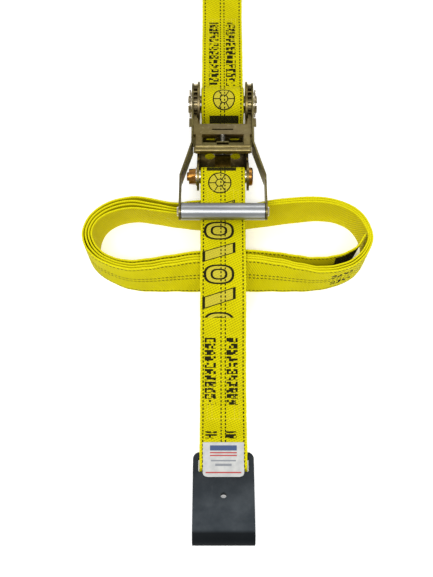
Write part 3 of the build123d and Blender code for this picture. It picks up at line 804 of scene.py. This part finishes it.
def stitchTree():
    tree = bpy.data.node_groups.new("stitchesOnLines", "GeometryNodeTree")
    face = tree.interface
    face.new_socket("Geometry", in_out="INPUT", socket_type="NodeSocketGeometry")
    for name, key in (("Pitch", "pitch"), ("Stitch Length", "length"), ("Thread Radius", "thread")):
        socket = face.new_socket(name, in_out="INPUT", socket_type="NodeSocketFloat")
        socket.default_value = stitch[key]
    face.new_socket("Thread", in_out="INPUT", socket_type="NodeSocketMaterial")
    face.new_socket("Geometry", in_out="OUTPUT", socket_type="NodeSocketGeometry")

    def add(kind, links, **settings):
        made = tree.nodes.new(kind)
        for key, value in settings.items():
            setattr(made, key, value)
        for key, value in links.items():
            if isinstance(value, bpy.types.NodeSocket):
                tree.links.new(value, made.inputs[key])
            else:
                made.inputs[key].default_value = value
        return made

    given = add("NodeGroupInput", {}).outputs
    lines = add("GeometryNodeMeshToCurve", {"Mesh": given["Geometry"]})
    links = {"Curve": lines.outputs[0], "Length": given["Pitch"]}
    even = add("GeometryNodeResampleCurve", links, mode="LENGTH")
    tangent = add("GeometryNodeInputTangent", {})
    aim = add("FunctionNodeAlignRotationToVector", {"Vector": tangent.outputs[0]}, axis="X")
    half = add("ShaderNodeMath", {0: given["Stitch Length"], 1: 0.5}, operation="MULTIPLY")
    radius = given["Thread Radius"]
    size = add("ShaderNodeCombineXYZ", {0: half.outputs[0], 1: radius, 2: radius})
    bead = add("GeometryNodeMeshUVSphere", {"Segments": 6, "Rings": 4, "Radius": 1.0})
    links = {"Points": even.outputs[0], "Instance": bead.outputs[0]}
    links.update({"Rotation": aim.outputs[0], "Scale": size.outputs[0]})
    placed = add("GeometryNodeInstanceOnPoints", links)
    real = add("GeometryNodeRealizeInstances", {"Geometry": placed.outputs[0]})
    links = {"Geometry": real.outputs[0], "Material": given["Thread"]}
    done = add("GeometryNodeSetMaterial", links)
    add("NodeGroupOutput", {"Geometry": done.outputs[0]})
    return tree


stitches = stitchTree()


def sewnRows(name, stations, start, end, body):
    verts, edges = [], []
    rowsAcross, steps = stitch["rows"], stitch["barSteps"]

    def addPoint(station, x, joined):
        centre, across, normal, _ = station
        verts.append(centre + across * x * mm + normal * (webbing["thick"] / 2 + stitch["lift"]))
        if joined:
            edges.append((len(verts) - 2, len(verts) - 1))

    sewn = [station for station in stations if start <= station[3] / mm <= end]
    for x in rowsAcross:
        for i, station in enumerate(sewn):
            addPoint(station, x, i > 0)
    for at in (start, end):  # a bar of stitches closes each end
        nearest = min(stations, key=lambda s: abs(s[3] / mm - at))
        for k in range(steps + 1):
            x = rowsAcross[0] + (rowsAcross[-1] - rowsAcross[0]) * k / steps
            addPoint(nearest, x, k > 0)
    mesh = bpy.data.meshes.new(name + "Lines")
    mesh.from_pydata(verts, edges, [])
    guide = bpy.data.objects.new(name + "Lines", mesh)
    bpy.context.scene.collection.objects.link(guide)
    modifier = guide.modifiers.new("stitches", "NODES")
    modifier.node_group = stitches
    for item in stitches.interface.items_tree:
        if item.item_type == "SOCKET" and item.in_out == "INPUT" and item.name == "Thread":
            modifier[item.identifier] = threadMaterial
    evaluated = guide.evaluated_get(bpy.context.evaluated_depsgraph_get())
    made = bpy.data.meshes.new_from_object(evaluated)
    made.name = name
    bpy.data.objects.remove(guide)
    made.polygons.foreach_set("use_smooth", [True] * len(made.polygons))
    piece = bpy.data.objects.new(name, made)
    bpy.context.scene.collection.objects.link(piece)
    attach(piece, body)
    print(name, len(made.polygons), "faces")
    return piece


mainEnd = mainStations[-1][3] / mm
shortEnd = shortStations[-1][3] / mm
loopRun = 82 + 17.6 + 10.5  # the flap, the half turn and the reach of a sewn end
seam = (loopRun + 85, loopRun + 42)  # from a strip's end to where its seam starts and stops
mainSeam = (mainEnd - seam[0], mainEnd - seam[1])
shortSeam = (shortEnd - seam[0], shortEnd - seam[1])
boltSeam = (shortAt(-16.0), shortAt(-40.0))
mainStitches = sewnRows("mainStitches", mainStations, *mainSeam, "base")
shortStitches = sewnRows("shortStitches", shortStations, *shortSeam, "base")
boltStitches = sewnRows("boltStitches", shortStations, *boltSeam, "base")


def finishStrip(piece, body, replaced):
    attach(piece, body)
    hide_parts(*replaced)


finishStrip(
    mainStrap, "base", ["main_strap"],
)
finishStrip(
    shortStrap, "base", ["short_strap"],
)
finishStrip(
    spareWebbing, "base", ["tail_strap", "tail_twist", "webbing_hank"],
)
finishStrip(
    woundWebbing, "mandrel", ["wound_webbing"],
)
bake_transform(hookLabel)
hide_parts("hook_label")

floorMesh = bpy.data.meshes.new("studioFloor")
reach = 4.0
corners = [(-reach, -reach, 0), (reach, -reach, 0), (reach, reach, 0), (-reach, reach, 0)]
floorMesh.from_pydata(corners, [], [(0, 1, 2, 3)])
studioFloor = bpy.data.objects.new("studioFloor", floorMesh)
bpy.context.scene.collection.objects.link(studioFloor)
glow = {"Emission Color": (1, 1, 1, 1), "Emission Strength": 0.32}
floorFinish = Finish("floorPaper", **glow)
floorGrain = floorFinish.noise(floorFinish.place(), 40.0, 2.0)
floorRough = floorGrain * 0.1 + 0.85
floorMesh.materials.append(floorFinish.set(colour=(0.93, 0.93, 0.93), rough=floorRough))

lights = {  # place, size across and along, watts
    "keyBox": ((-0.6, -0.5, 1.8), (0.9, 0.9), 8),
    "gripBox": ((-0.01, -0.90, 1.50), (1.5, 0.16), 15),
    "backBox": ((0.5, 1.1, 1.5), (1.2, 0.8), 9),
}


def areaLight(name, place, size, watts):
    data = bpy.data.lights.new(name, "AREA")
    data.shape, data.size, data.size_y, data.energy = "RECTANGLE", size[0], size[1], watts
    lamp = bpy.data.objects.new(name, data)
    lamp.location = place
    lamp.rotation_euler = (Vector((0, 0, 0.03)) - Vector(place)).to_track_quat("-Z", "Y").to_euler()
    bpy.context.scene.collection.objects.link(lamp)


for name, (place, size, watts) in lights.items():
    areaLight(name, place, size, watts)

world = bpy.data.worlds.new("studio")
bpy.context.scene.world = world
world.use_nodes = True
world.node_tree.nodes["Background"].inputs["Color"].default_value = (1.0, 1.0, 1.0, 1)
world.node_tree.nodes["Background"].inputs["Strength"].default_value = 0.62

cameraData = bpy.data.cameras.new("camera")
cameraData.lens = 66.95  # millimetres
camera = bpy.data.objects.new("camera", cameraData)
camera.location = (-0.0122, -0.6227, 1.1)
camera.rotation_euler = (radians(25), 0, 0)
bpy.context.scene.collection.objects.link(camera)
bpy.context.scene.camera = camera
bpy.context.scene.view_settings.view_transform = "Standard"
print("stage, lights and camera set")
